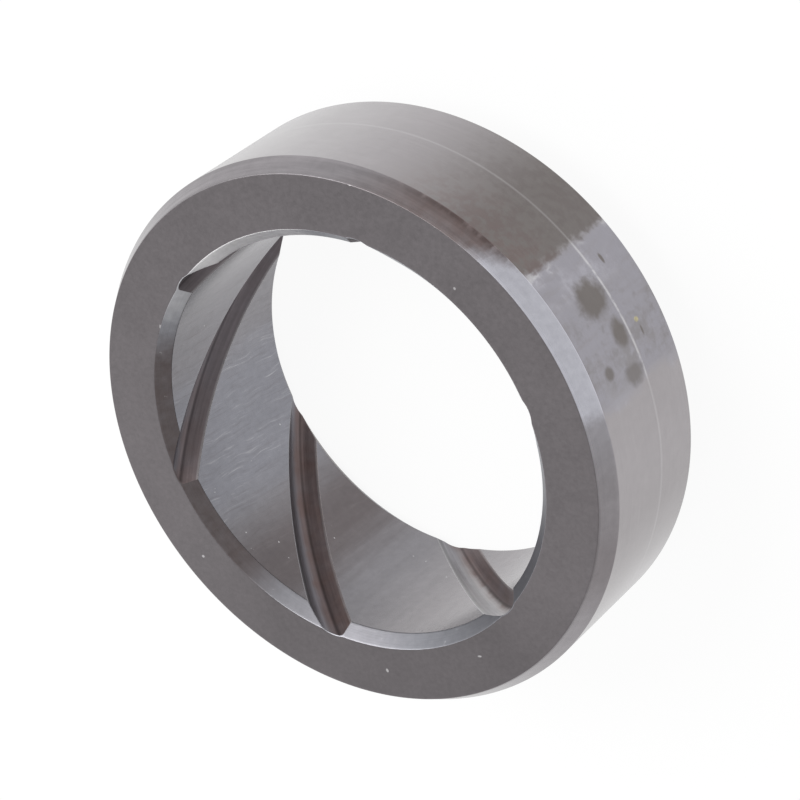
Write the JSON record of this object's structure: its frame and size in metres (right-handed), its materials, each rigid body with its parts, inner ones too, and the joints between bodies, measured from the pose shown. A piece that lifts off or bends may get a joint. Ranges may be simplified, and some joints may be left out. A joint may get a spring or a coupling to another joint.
{
  "type": "bushing",
  "caption": "Plain steel bushing with helical oil grooves in its bore, chamfered ends and a ground outside.",
  "frame": {"origin": "on the axis, in the plane of the back face that the ring stands on", "axes": "+Z along the bore axis, from the back face towards the marked face"},
  "size_m": [0.082, 0.082, 0.029],
  "materials": {
    "steel": "satin, ground and darkened"
  },
  "bodies": {
    "root": {"bushing": "steel"}
  },
  "joints": []
}
